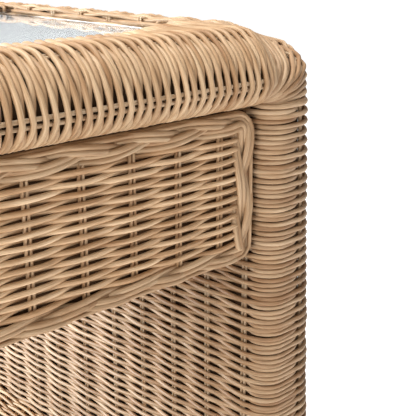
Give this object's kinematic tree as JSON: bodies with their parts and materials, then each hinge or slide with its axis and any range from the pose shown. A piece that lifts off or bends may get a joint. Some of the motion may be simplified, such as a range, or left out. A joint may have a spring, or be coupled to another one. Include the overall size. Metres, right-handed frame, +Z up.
{
  "type": "side table with drawer",
  "caption": "Square woven rattan side table: a thick arch with a crowned rim round an inset glass top, a woven drawer with a plaited border, and an open shelf below.",
  "frame": {"origin": "on the floor, under the centre of the table", "axes": "+Z up, the drawer opens towards -Y, +X to the right as seen from the front"},
  "size_m": [0.524, 0.53, 0.58],
  "materials": {
    "rattan_pole": "natural rattan pole, satin",
    "woven_rattan": "natural round-core weave, clear satin lacquer",
    "drawer_rattan": "natural round-core weave, clear satin lacquer",
    "plaited_rattan": "natural round core, plaited, clear satin lacquer",
    "hidden_board": "light plywood, matte",
    "drawer_wood": "light hardwood, satin",
    "drawer_ply": "light plywood, matte",
    "runner_wood": "waxed hardwood",
    "glass": "clear, polished",
    "clear_pad": "translucent, soft",
    "steel": "zinc plated",
    "glide_plastic": "moulded, matte"
  },
  "bodies": {
    "table": {"post_front_left": "rattan_pole", "post_front_right": "rattan_pole", "post_back_left": "rattan_pole", "post_back_right": "rattan_pole", "top_rail_front": "rattan_pole", "top_rail_back": "rattan_pole", "top_rail_left": "rattan_pole", "top_rail_right": "rattan_pole", "mid_rail_left": "rattan_pole", "mid_rail_right": "rattan_pole", "base_rail_left": "rattan_pole", "base_rail_right": "rattan_pole", "shelf_rail_front": "rattan_pole", "shelf_rail_back": "rattan_pole", "wall_outer_left": "woven_rattan", "wall_outer_right": "woven_rattan", "wall_inner_left": "woven_rattan", "wall_inner_right": "woven_rattan", "wall_front_edge_left": "woven_rattan", "wall_front_edge_right": "woven_rattan", "wall_back_edge_left": "woven_rattan", "wall_back_edge_right": "woven_rattan", "rim_left": "woven_rattan", "rim_right": "woven_rattan", "rim_front": "woven_rattan", "rim_back": "woven_rattan", "shelf_top_skin": "woven_rattan", "shelf_under_skin": "woven_rattan", "shelf_front_edge": "woven_rattan", "shelf_back_edge": "woven_rattan", "back_apron_weave": "woven_rattan", "sub_top_board": "hidden_board", "shelf_board": "hidden_board", "wall_base_left": "hidden_board", "wall_base_right": "hidden_board", "back_apron_board": "hidden_board", "runner_left": "runner_wood", "runner_right": "runner_wood", "closing_stops": "runner_wood", "pull_out_stop": "runner_wood", "glass_top": "glass", "glass_pads": "clear_pad", "runner_screws": "steel", "foot_glides": "glide_plastic"},
    "drawer": {"drawer_front_board": "drawer_wood", "drawer_front_weave": "drawer_rattan", "drawer_braid": "plaited_rattan", "drawer_side_left": "drawer_wood", "drawer_side_right": "drawer_wood", "drawer_back": "drawer_wood", "drawer_bottom": "drawer_ply", "drawer_screws": "steel"}
  },
  "joints": [
    {"name": "drawer_slide", "type": "slide", "parent": "table", "child": "drawer", "axis": [0, -1, 0], "range_m": [0, 0.285]}
  ]
}
